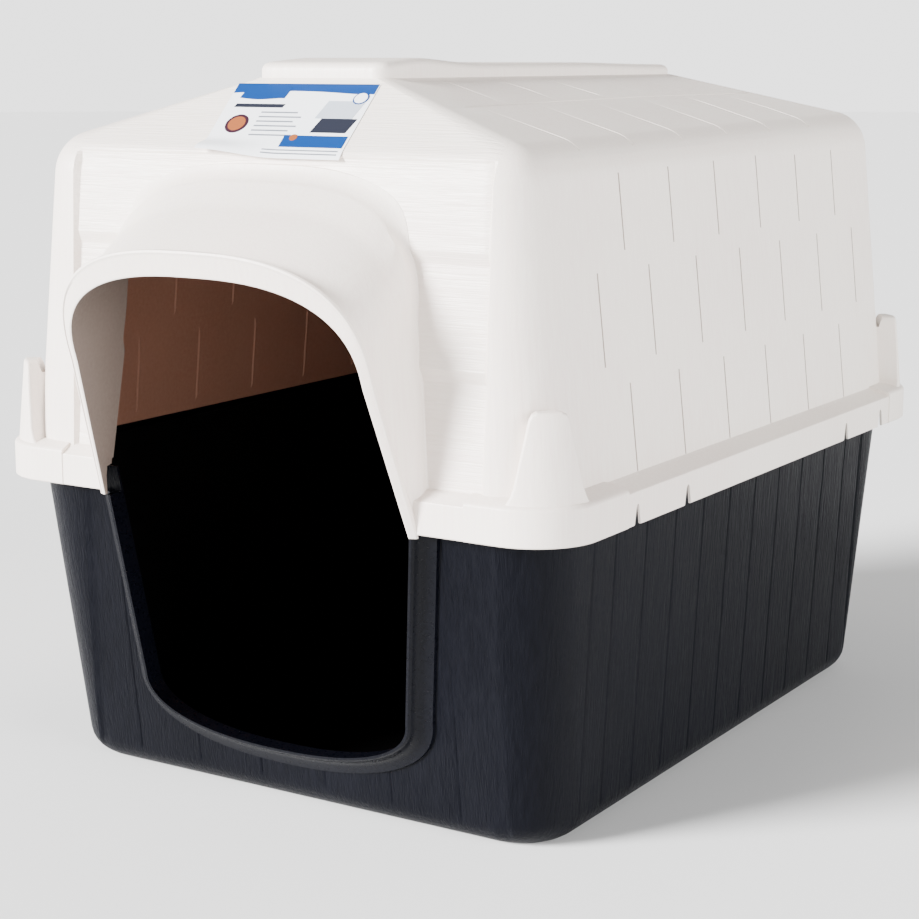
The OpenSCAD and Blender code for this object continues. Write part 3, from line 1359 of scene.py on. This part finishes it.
    def board_panel(self, bm: bmesh.types.BMesh, near: float) -> None:
        """Sets lapped boards into the front or back wall between the corner posts.

        Args:
            bm: The roof's solid.
            near: -1 for the front, 1 for the back.
        """
        ramp = 0.0045
        edges = (self.panel_left, self.panel_right) if near < 0 else (-self.panel_right, self.panel_right)
        levels = [self.boards.foot, 0.700, 0.708, 0.716, self.boards.top, self.boards.fade]
        for lap in self.boards.laps:
            levels += [lap, lap - self.boards.slant]
        cuts = [(Axis.X, x) for edge, sign in zip(edges, (1, -1)) for x in (edge, edge + sign * ramp)]
        cuts += [(Axis.Z, z) for z in levels]
        bm.normal_update()
        for axis, level in cuts:
            ahead = [f for f in bm.faces if f.normal.y * near > self.FRONTWARD]
            split_faces(bm, [f for f in ahead if f.calc_center_median().z < 0.76], axis, level)
        for vert in {v for f in bm.faces if f.normal.y * near > self.FRONTWARD for v in f.verts}:
            inside = min(vert.co.x - edges[0], edges[1] - vert.co.x)
            if inside > 0 and vert.co.z < self.boards.fade:
                vert.co.y -= near * self.boards.depth(vert.co.z) * smooth(inside / ramp)
        for face in bm.faces:
            middle = face.calc_center_median()
            if face.normal.y * near > 0.3 and edges[0] < middle.x < edges[1]:
                face.material_index = Skin.PANEL.value

    def cap(self, inset: float) -> bmesh.types.BMesh:
        """Ridge cap with rolled edges, and a low crest near its front.

        Args:
            inset: 0 for the outside, or how far the room under it is drawn in.

        Returns:
            A closed mesh.
        """
        low = self.cap_z - 0.008 - inset
        top = self.cap_top - inset
        profile = ((0.0, low), (0.0, top - 0.0085), (0.0012, top - 0.0050), (0.0040, top - 0.0022),
                   (0.0085, top - 0.0006), (0.0150, top))
        rings = []
        for tuck, z in profile:
            half_x = self.cap_half_x - inset - tuck
            half_y = self.cap_half_y - inset - tuck
            rings.append(round_rect(half_x, half_y, 0.016 - tuck * 0.8, z, self.cap_mid))
        bm = loft(rings)
        for count in range(1, self.CAP_STEPS):
            y = lerp(self.cap_front, self.cap_rear, count / self.CAP_STEPS)
            split(bm, Vector((0.0, y, 0.0)), Axis.Y.unit())
        for vert in bm.verts:
            if vert.co.z > top - 0.0086:
                crest = self.crest_height * math.exp(-(((vert.co.y - self.crest_y) / self.crest_run) ** 2))
                vert.co.z += crest - self.rear_sag * smooth((vert.co.y - 0.05) / 0.25)
        return bm

    def skirt(self) -> bmesh.types.BMesh:
        """Skirt band and the sloping ledge that joins it to the walls.

        Returns:
            A closed mesh.
        """
        x, y, r = self.skirt_half_x, self.skirt_half_y, self.skirt_corner
        foot_x, foot_y = self.foot_half_x, self.foot_half_y
        return loft([
            round_rect(x - 0.0012, y - 0.0012, r - 0.001, self.skirt_z),
            round_rect(x, y, r, self.skirt_z + 0.0012),
            round_rect(x, y, r, self.ledge_z - 0.0022),
            round_rect(x - 0.0007, y - 0.0007, r, self.ledge_z - 0.0006),
            round_rect(x - 0.0024, y - 0.0024, r - 0.002, self.ledge_z + 0.0004),
            round_rect(foot_x + 0.0035, foot_y + 0.0020, r, self.ledge_z + 0.0060),
            round_rect(foot_x + 0.0010, foot_y + 0.0005, r, self.ledge_z + 0.0078),
            round_rect(foot_x - 0.0060, foot_y - 0.0060, r, self.ledge_z + 0.0105),
        ])

    def corner_block(self, side_x: float, side_y: float) -> bmesh.types.BMesh:
        """Thicker stretch of the skirt round one corner, which the ear grows out of.

        Args:
            side_x: -1 for the left, 1 for the right.
            side_y: -1 for the front, 1 for the rear.

        Returns:
            A closed mesh.
        """
        proud = 0.0012
        foot_x, foot_y = self.foot_half_x, self.foot_half_y
        x, y, r = self.skirt_half_x + proud, self.skirt_half_y + proud * 0.8, self.skirt_corner + proud
        bm = loft([
            round_rect(x - 0.0012, y - 0.0012, r - 0.001, self.skirt_z),
            round_rect(x, y, r, self.skirt_z + 0.0012),
            round_rect(x, y, r, self.ledge_z + 0.0010),
            round_rect(x - 0.0006, y - 0.0006, r, self.ledge_z + 0.0030),
            round_rect(x - 0.0024, y - 0.0024, r - 0.002, self.ledge_z + 0.0048),
            round_rect(x - 0.0060, y - 0.0055, r - 0.005, self.ledge_z + 0.0062),
            round_rect(foot_x + 0.0020, foot_y + 0.0010, r - 0.004, self.ledge_z + 0.0100),
            round_rect(foot_x - 0.0080, foot_y - 0.0080, r - 0.010, self.ledge_z + 0.0120),
        ])
        end = self.block_front if side_y < 0 else self.block_rear
        trim(bm, Vector((side_x * self.block_x, 0.0, 0.0)), Vector((-side_x, 0.0, 0.0)))
        trim(bm, Vector((0.0, end, 0.0)), Vector((0.0, -side_y, 0.0)))
        return bm

    def ear_notch(self) -> bmesh.types.BMesh:
        """Cutter that leaves a V between the top of each ear and the wall.

        Returns:
            A closed mesh.
        """
        return loft([
            round_rect(0.3465, 0.4815, 0.066, 0.466),
            round_rect(0.3530, 0.4880, 0.072, 0.486),
        ])

    def ears(self, palette: list[bpy.types.Material]) -> list[bmesh.types.BMesh]:
        """The four ears, each with the V behind its top.

        Args:
            palette: One material for each skin.

        Returns:
            Four closed meshes.
        """
        made = []
        for side_x in (-1.0, 1.0):
            for side_y in (-1.0, 1.0):
                ear = Workpiece("ear", CornerEar().solid(side_x, side_y), palette)
                made.append(ear.work(Boolean.CUT, self.ear_notch()).take())
        return made

    def build(self, palette: list[bpy.types.Material]) -> bpy.types.Object:
        """Makes the roof and puts it on its body.

        Args:
            palette: One material for each skin.

        Returns:
            The finished object.
        """
        piece = Workpiece("roof_moulding", self.walls(0.0), palette)
        piece.work(Boolean.JOIN, self.cap(0.0))
        piece.work(Boolean.JOIN, self.skirt())
        for side_x in (-1.0, 1.0):
            for side_y in (-1.0, 1.0):
                piece.work(Boolean.JOIN, self.corner_block(side_x, side_y))
        for ear in self.ears(palette):
            piece.work(Boolean.JOIN, ear)
        piece.work(Boolean.JOIN, Hood().solid())
        self.hollow(piece)
        return piece.finish("roof", "roof_plastic", ["roof_shell"], crisp=Skin.PANEL)

    def hollow(self, piece: Workpiece) -> None:
        """Takes out the room, the space under the skirt, the hood's passage and the tabs' gaps.

        Args:
            piece: The solid roof.
        """
        # The room's faces take the inside skin, which is painted shade
        piece.work(Boolean.CUT, paint(self.walls(WALL), Skin.INSIDE))
        piece.work(Boolean.CUT, paint(self.cap(WALL), Skin.INSIDE))
        under = loft([
            round_rect(self.skirt_half_x - WALL, self.skirt_half_y - WALL, self.skirt_corner - WALL, z)
            for z in (self.skirt_z - 0.02, self.ledge_z - 0.0025)
        ])
        low = Workpiece("under", paint(under, Skin.OUTSIDE), piece.palette)
        feet = 0.2275
        low.work(Boolean.CUT, block((-feet, -0.6, 0.3), (feet, -0.478, 0.4)))
        piece.work(Boolean.CUT, low.take())
        # The passage's faces take the passage skin, which is painted shade
        piece.work(Boolean.CUT, paint(Hood().passage(), Skin.PASSAGE))
        piece.work(Boolean.CUT, block((-0.262, -0.4935, 0.30), (0.262, -0.40, 0.3735)))
        for tab in SnapTab.all():
            piece.work(Boolean.CUT, tab.gap())


# ------------------------------------------------------------------------------------------
# Snap tabs


@dataclass
class SnapTab:
    """One of the four snap tabs: a strip of skirt between two notches, with the lip that holds the rim."""

    name: str
    side: float
    y: float
    half: float = 0.059
    notch_top: float = 0.0030
    notch_foot: float = 0.0070
    notch_z: float = 0.0225
    top: float = 0.0333
    lip_reach: float = 0.0031
    lip_half: float = 0.0354
    lip_low: float = 0.0142
    face_x: float = 0.380
    foot_z: float = 0.346
    lip_height: float = 0.004

    HAIR = 0.00005

    @staticmethod
    def all() -> list["SnapTab"]:
        """The four tabs.

        Returns:
            The tabs, the front ones first.
        """
        return [
            SnapTab(f"{end}_{hand}", side, y)
            for end, y in (("front", -0.275), ("rear", 0.297))
            for hand, side in (("left", -1.0), ("right", 1.0))
        ]

    def outline(self, sign: float) -> Ring:
        """Outline of the tab, or of the gap that it stands in, in Y and Z.

        Args:
            sign: -1 for the tab, 1 for the gap.

        Returns:
            Its points, with X left at 0.
        """
        half = self.half
        round_top = 0.4 * self.notch_top
        right = [
            (half + sign * (self.notch_foot + 0.0008), 0.0),
            (half + sign * self.notch_foot, 0.0010),
            (half + sign * self.notch_top, self.notch_z - 0.003),
            (half + sign * (self.notch_top - round_top), self.notch_z - 0.0008),
            (half + sign * self.HAIR, self.notch_z),
            (half + sign * self.HAIR, self.top),
        ]
        if sign > 0:
            right[0] = (right[0][0], -0.002)
        points = right + [(-y, z) for y, z in reversed(right)]
        return [Vector((0.0, self.y + y, self.foot_z + z)) for y, z in points]

    def slab(self, ring: Ring, near: float, far: float) -> bmesh.types.BMesh:
        """Outline given a thickness between two distances from the kennel's middle."""
        return loft([[Vector((self.side * x, p.y, p.z)) for p in ring] for x in (near, far)])

    def gap(self) -> bmesh.types.BMesh:
        """Cutter for the tab and its notches."""
        return self.slab(self.outline(1.0), self.face_x - 0.012, self.face_x + 0.012)

    def build(self, palette: list[bpy.types.Material]) -> bpy.types.Object:
        """Makes the tab and puts it on its body.

        Args:
            palette: One material for each skin.

        Returns:
            The finished object.
        """
        inner = self.face_x - WALL
        bm = self.slab(self.outline(-1.0), inner, self.face_x)
        low_z = self.foot_z + self.notch_z - 0.0001
        low_rim = [e for e in bm.edges if all(v.co.z < low_z for v in e.verts)]
        front = [e for e in low_rim if all(abs(abs(v.co.x) - self.face_x) < ON_PLANE for v in e.verts)]
        round_edges(bm, front, 0.0007, 2)
        piece = Workpiece(f"snap_tab_{self.name}", bm, palette)
        lip_z = self.foot_z + self.lip_low
        span = sorted((self.side * (inner - self.lip_reach), self.side * (inner + 0.001)))
        low = (span[0], self.y - self.lip_half, lip_z)
        lip = block(low, (span[1], self.y + self.lip_half, lip_z + self.lip_height))
        round_edges(lip, lip.edges[:], 0.0006, 2)
        piece.work(Boolean.JOIN, lip)
        node = f"tab_{self.name}"
        return piece.finish(node, "roof_plastic", [node])


# ------------------------------------------------------------------------------------------
# Label


class Ink(Enum):
    """Ink of a printed patch, and its place among the label's materials."""

    WHITE = 0
    BLUE = 1
    GREY = 2
    ORANGE = 3
    PLUM = 4
    SLATE = 5
    PALE = 6

    def finish(self) -> Print:
        """The finish that the ink gives."""
        return Print(f"label_{self.name.lower()}", INK_COLOURS[self.value])


INK_COLOURS = (
    (0.84, 0.86, 0.89),
    (0.0006, 0.034, 0.16),
    (0.16, 0.17, 0.20),
    (0.26, 0.075, 0.022),
    (0.030, 0.008, 0.018),
    (0.012, 0.014, 0.024),
    (0.42, 0.46, 0.52),
)


@dataclass
class Label:
    """Printed card on the front slope, with a generic layout: bands, bars, discs and two panels."""

    width: float = 0.189
    length: float = 0.118
    skew: float = 0.012
    middle_x: float = -0.0072
    top_y: float = -0.3715
    top_z: float = 0.7934
    slope: float = math.radians(38.6)
    lift: float = 0.0006
    flat: float = 0.0995
    bend: float = 0.085
    taper: float = 0.03
    curl: float = 0.011
    curl_up: float = 0.24
    curl_across: float = 0.55

    THICKNESS = 0.0003

    def at(self, u: float, v: float, above: float) -> Vector:
        """Point on the card.

        Args:
            u: From 0 at the left to 1 at the right.
            v: From 0 at the bottom to 1 at the top.
            above: Height above the card's face.

        Returns:
            The point in the frame.
        """
        curl = self.curl * smooth((self.curl_up - v) / self.curl_up)
        curl *= smooth((self.curl_across - u) / self.curl_across)
        down = (1.0 - v) * self.length
        normal = Vector((0.0, -math.sin(self.slope), math.cos(self.slope)))
        across = (u - 0.5) * self.width * (1.0 - self.taper * (1.0 - v)) + self.skew * (1.0 - v)
        start = Vector((self.middle_x + across, self.top_y, self.top_z))
        run = Vector((0.0, -math.cos(self.slope), -math.sin(self.slope))) * down
        droop = max(down - self.flat, 0.0) ** 2 / (2.0 * self.bend)
        return start + run + normal * (self.lift + above + curl - droop)

    def patch(self, low: tuple[float, float], high: tuple[float, float], ink: Ink, above: float,
              shear: float = 0.0, sag: float = 0.0, cells: int = 18) -> bmesh.types.BMesh:
        """Printed patch: a grid laid on the card.

        Args:
            low: Its lower left corner in u and v.
            high: Its upper right corner in u and v.
            ink: Which material.
            above: Height above the card's face.
            shear: How far its top leans right.
            sag: How far its lower edge bows.
            cells: Cells each way.

        Returns:
            A closed mesh.
        """
        bm = bmesh.new()
        bmesh.ops.create_grid(bm, x_segments=cells, y_segments=cells, size=0.5)
        for vert in bm.verts:
            s, t = vert.co.x + 0.5, vert.co.y + 0.5
            bottom = low[1] - sag * math.sin(math.pi * min(s * 1.15, 1.0))
            v = lerp(bottom, high[1], t)
            u = lerp(low[0], high[0], s) + shear * (t - 0.5)
            vert.co = self.at(u, v, above)
        return self._thicken(bm, ink)

    def disc(self, u: float, v: float, radius: float, ink: Ink, above: float) -> bmesh.types.BMesh:
        """Printed disc laid on the card.

        Args:
            u: Its middle, from 0 at the left to 1 at the right.
            v: Its middle, from 0 at the bottom to 1 at the top.
            radius: Its radius.
            ink: Which material.
            above: Height above the card's face.

        Returns:
            A closed mesh.
        """
        bm = bmesh.new()
        bmesh.ops.create_circle(bm, cap_ends=True, segments=40, radius=radius)
        for vert in bm.verts:
            vert.co = self.at(u + vert.co.x / self.width, v + vert.co.y / self.length, above)
        return self._thicken(bm, ink)

    def _thicken(self, bm: bmesh.types.BMesh, ink: Ink) -> bmesh.types.BMesh:
        """Gives a printed sheet a hair of thickness below it, and its ink.

        Args:
            bm: The open sheet.
            ink: Which material.

        Returns:
            The same mesh, closed.
        """
        bmesh.ops.recalc_face_normals(bm, faces=bm.faces)
        if sum(f.normal.z for f in bm.faces) < 0:
            bmesh.ops.reverse_faces(bm, faces=bm.faces)
        bmesh.ops.solidify(bm, geom=bm.faces[:], thickness=self.THICKNESS)
        for face in bm.faces:
            face.material_index = ink.value
        return bm

    def build(self) -> bpy.types.Object:
        """Makes the card and its print, and puts them on the roof.

        Returns:
            The finished object.
        """
        sheets = [
            self.patch((0.0, 0.0), (1.0, 1.0), Ink.WHITE, 0.0, cells=30),
            self.patch((0.004, 0.86), (0.996, 0.998), Ink.BLUE, 0.00025, sag=-0.035),
            self.patch((0.08, 0.79), (0.40, 0.94), Ink.BLUE, 0.0005, shear=0.015, sag=0.02),
            self.disc(0.155, 0.43, 0.0150, Ink.PLUM, 0.00025),
            self.disc(0.155, 0.43, 0.0112, Ink.ORANGE, 0.0005),
            self.disc(0.925, 0.80, 0.0098, Ink.BLUE, 0.0006),
            self.disc(0.925, 0.80, 0.0080, Ink.WHITE, 0.0009),
            self.patch((0.700, 0.52), (0.955, 0.76), Ink.PALE, 0.00035, shear=0.03),
            self.patch((0.720, 0.33), (0.965, 0.52), Ink.SLATE, 0.00035, shear=0.03),
            self.patch((0.545, 0.13), (0.985, 0.285), Ink.BLUE, 0.0005),
            self.disc(0.615, 0.255, 0.0050, Ink.ORANGE, 0.0008),
            self.patch((0.07, 0.66), (0.42, 0.71), Ink.SLATE, 0.00025, shear=0.01, cells=6),
        ]
        for row in range(6):
            width = 0.30 if row % 2 else 0.26
            v = 0.585 - 0.062 * row
            sheets.append(self.patch((0.285, v), (0.285 + width, v + 0.018), Ink.GREY, 0.00025, cells=4))
        for row in range(2):
            v = 0.085 - 0.04 * row
            sheets.append(self.patch((0.44, v), (0.97, v + 0.014), Ink.GREY, 0.00025, cells=6))
        mesh = bpy.data.meshes.new("label_sheet")
        joined = bmesh.new()
        for sheet in sheets:
            sheet.to_mesh(mesh)
            joined.from_mesh(mesh)
            sheet.free()
        bpy.data.meshes.remove(mesh)
        piece = Workpiece("label_print", joined, [ink.finish().material() for ink in Ink])
        return piece.finish("roof", "label_vinyl", ["label_card"])


# ------------------------------------------------------------------------------------------
# Studio


@dataclass
class Studio:
    """Pale floor, soft lights and the camera."""

    eye: tuple[float, float, float] = (1.3386, -2.2061, 0.8225)
    turn: float = 32.1588
    tilt: float = 11.0036
    lens: float = 81.15
    sensor: float = 36.0
    aim: tuple[float, float, float] = (0.0, 0.0, 0.4)
    key: tuple[float, float, float] = (-2.4, -3.4, 1.8)
    fill: tuple[float, float, float] = (3.6, -0.6, 1.1)
    glow: tuple[float, float] = (2.6, 0.28)
    glow_height: tuple[float, float] = (0.08, 0.45)
    floor_radius: float = 30.0
    floor_tone: float = 0.90

    def floor(self) -> None:
        """Wide pale floor."""
        bm = bmesh.new()
        bmesh.ops.create_circle(bm, cap_ends=True, segments=64, radius=self.floor_radius)
        mesh = bpy.data.meshes.new("floor")
        bm.to_mesh(mesh)
        bm.free()
        floor = add_object("floor", mesh)
        finish, _, shader = new_material("floor_paint")
        tone = self.floor_tone
        shader.inputs["Base Color"].default_value = (tone, tone, tone, 1.0)
        shader.inputs["Roughness"].default_value = 0.9
        shader.inputs["Specular IOR Level"].default_value = 0.1
        mesh.materials.append(finish)

    def lamp(self, name: str, at: tuple[float, float, float], spread: float, power: float) -> None:
        """Distant soft lamp that shines on the kennel's middle from one side.

        Args:
            name: Name of the lamp.
            at: A point on the line that it shines along.
            spread: Its width as an angle in degrees.
            power: Its strength.
        """
        light = bpy.data.lights.new(name, "SUN")
        light.angle = math.radians(spread)
        light.energy = power
        lamp = add_object(name, light)
        lamp.location = at
        lamp.rotation_euler = (Vector(self.aim) - Vector(at)).to_track_quat("-Z", "Y").to_euler()

    def lights(self) -> None:
        """Key from the front left and fill from the right."""
        self.lamp("key", self.key, 22.0, 18.5)
        self.lamp("fill", self.fill, 34.0, 4.6)

    def surround(self) -> None:
        """Surround that is bright near the horizon and dim overhead."""
        world = bpy.data.worlds.new("surround")
        world.use_nodes = True
        tree = world.node_tree
        place = tree.nodes.new("ShaderNodeTexCoord")
        split = tree.nodes.new("ShaderNodeSeparateXYZ")
        fade = tree.nodes.new("ShaderNodeMapRange")
        fade.inputs["From Min"].default_value = self.glow_height[0]
        fade.inputs["From Max"].default_value = self.glow_height[1]
        fade.inputs["To Min"].default_value = self.glow[0]
        fade.inputs["To Max"].default_value = self.glow[1]
        tree.links.new(place.outputs["Generated"], split.inputs["Vector"])
        tree.links.new(split.outputs["Z"], fade.inputs["Value"])
        tree.links.new(fade.outputs["Result"], tree.nodes["Background"].inputs["Strength"])
        tree.nodes["Background"].inputs["Color"].default_value = (1.0, 1.0, 1.0, 1.0)
        bpy.context.scene.world = world

    def camera(self) -> None:
        """Camera at the front right, level with the top of the roof."""
        data = bpy.data.cameras.new("camera")
        data.sensor_width = self.sensor
        data.lens = self.lens
        camera = add_object("camera", data)
        camera.location = self.eye
        camera.rotation_euler = (math.radians(90.0 - self.tilt), 0.0, math.radians(self.turn))
        bpy.context.scene.camera = camera

    def build(self) -> None:
        """Sets the studio up."""
        self.floor()
        self.lights()
        self.surround()
        self.camera()


def main() -> None:
    """Builds the studio and the kennel's pieces in order."""
    logging.basicConfig(level=logging.INFO, format="%(message)s")
    Studio().build()
    Base().build()
    creams = (CREAM_UPRIGHT, CREAM_LEVEL, CREAM_INSIDE_SHADE, CREAM_PASSAGE_SHADE, CREAM_GROOVE_SHADE)
    palette = [cream.material() for cream in creams]
    Roof().build(palette)
    for tab in SnapTab.all():
        tab.build(palette)
    Label().build()


if __name__ == "__main__":
    main()
